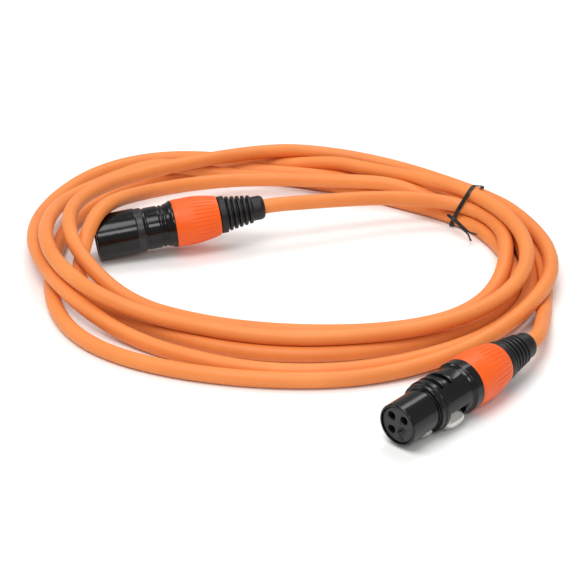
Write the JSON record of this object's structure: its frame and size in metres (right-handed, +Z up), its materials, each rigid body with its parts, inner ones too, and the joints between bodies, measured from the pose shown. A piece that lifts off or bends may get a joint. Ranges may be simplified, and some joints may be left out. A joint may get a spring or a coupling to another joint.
{
  "type": "xlr cable coil",
  "caption": "Round microphone cable in loose coiled turns, with a three-pin plug and a three-pin socket, each with a coloured rear nut and a ribbed boot.",
  "frame": {"origin": "on the surface the cable lies on, under the middle of the whole object", "axes": "+Z up; +Y away from the viewer of the open side of the coil; the female plug lies towards -Y"},
  "size_m": [0.217, 0.2543, 0.0236],
  "materials": {
    "cable_jacket": "soft matte extruded jacket, orange",
    "shell_black": "glossy black plated die-cast shell",
    "insert_black": "satin black moulded insert",
    "nut_orange": "satin moulded plastic, saturated orange",
    "boot_rubber": "matte black rubber",
    "contact_silver": "silver plated, polished",
    "contact_gold": "gold plated",
    "latch_steel": "bright nickel, lightly worn",
    "chuck_grey": "glass filled nylon",
    "core_red": "insulated wire",
    "core_white": "insulated wire",
    "drain_wire": "tinned copper drain wire",
    "tie_black": "thin plastic coated wire tie"
  },
  "bodies": {
    "coil": {"cable_coil": "cable_jacket", "male_lead": "cable_jacket", "female_lead": "cable_jacket", "twist_tie": "tie_black", "male_shell": "shell_black", "male_insert": "insert_black", "male_pin_1": "contact_silver", "male_pin_2": "contact_silver", "male_pin_3": "contact_silver", "male_core_red": "core_red", "male_core_white": "core_white", "male_core_drain": "drain_wire", "male_chuck": "chuck_grey", "female_shell": "shell_black", "female_insert": "insert_black", "female_contact_1": "contact_gold", "female_contact_2": "contact_gold", "female_contact_3": "contact_gold", "female_core_red": "core_red", "female_core_white": "core_white", "female_core_drain": "drain_wire", "female_chuck": "chuck_grey", "female_latch_spring": "latch_steel"},
    "female_latch": {"female_latch": "latch_steel"},
    "male_nut": {"male_nut": "nut_orange"},
    "female_nut": {"female_nut": "nut_orange"},
    "male_boot": {"male_boot": "boot_rubber"},
    "female_boot": {"female_boot": "boot_rubber"}
  },
  "joints": [
    {"name": "female_latch_press", "type": "slide", "parent": "coil", "child": "female_latch", "axis": [-0.5344, 0.4817, 0.6946], "range_m": [0, 0.0015], "stiffness_N_per_m": 500, "springref_m": -0.002, "deforming": ["female_latch_spring"]},
    {"name": "male_boot_back", "type": "slide", "parent": "coil", "child": "male_boot", "axis": [0.9714, 0.2154, 0.1002], "range_m": [0, 0.00375]},
    {"name": "male_nut_turn", "type": "hinge", "parent": "male_boot", "child": "male_nut", "pos_m": [-0.03857, 0.03133, 0.01361], "axis": [0.9714, 0.2154, 0.1002], "range_deg": [0, 1080.5]},
    {"name": "female_boot_back", "type": "slide", "parent": "coil", "child": "female_boot", "axis": [0.6819, 0.7312, 0.0175], "range_m": [0, 0.00375]},
    {"name": "female_nut_turn", "type": "hinge", "parent": "female_boot", "child": "female_nut", "pos_m": [0.06978, -0.09019, 0.01018], "axis": [0.6819, 0.7312, 0.0175], "range_deg": [0, 1080.5]}
  ],
  "couplings": [
    {"joint": "male_nut_turn", "follows": "male_boot_back", "rad_per_m": 5026.5},
    {"joint": "female_nut_turn", "follows": "female_boot_back", "rad_per_m": 5026.5}
  ]
}
